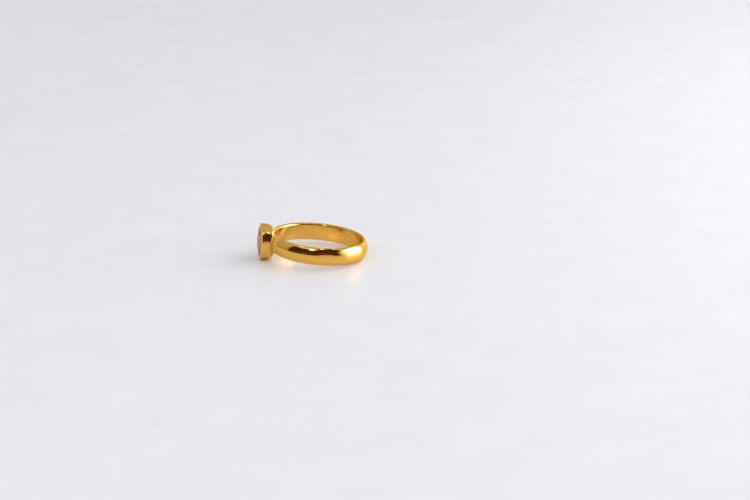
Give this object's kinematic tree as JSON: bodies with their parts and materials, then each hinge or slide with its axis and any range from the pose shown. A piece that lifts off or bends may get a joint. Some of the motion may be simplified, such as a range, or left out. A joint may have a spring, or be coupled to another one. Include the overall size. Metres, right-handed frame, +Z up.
{
  "type": "diamond solitaire ring",
  "caption": "Polished yellow gold finger ring: a plain band, flat inside and domed outside, with a round cut diamond set in a smooth cup. It lies on its side.",
  "frame": {"origin": "on the floor, under the middle of the ring's bounding box as it lies on its side", "axes": "+Z up from the floor, +X from the stone across the ring to the back of the band, +Y completes a right-handed frame; the ring is mirror symmetric in the plane y = 0"},
  "size_m": [0.0212, 0.019, 0.0069],
  "materials": {
    "gold": "high-polish 22 carat yellow gold",
    "diamond": "round cut diamond, light taupe, polished facets"
  },
  "bodies": {
    "root": {"band_and_bezel": "gold", "diamond": "diamond"}
  },
  "joints": []
}
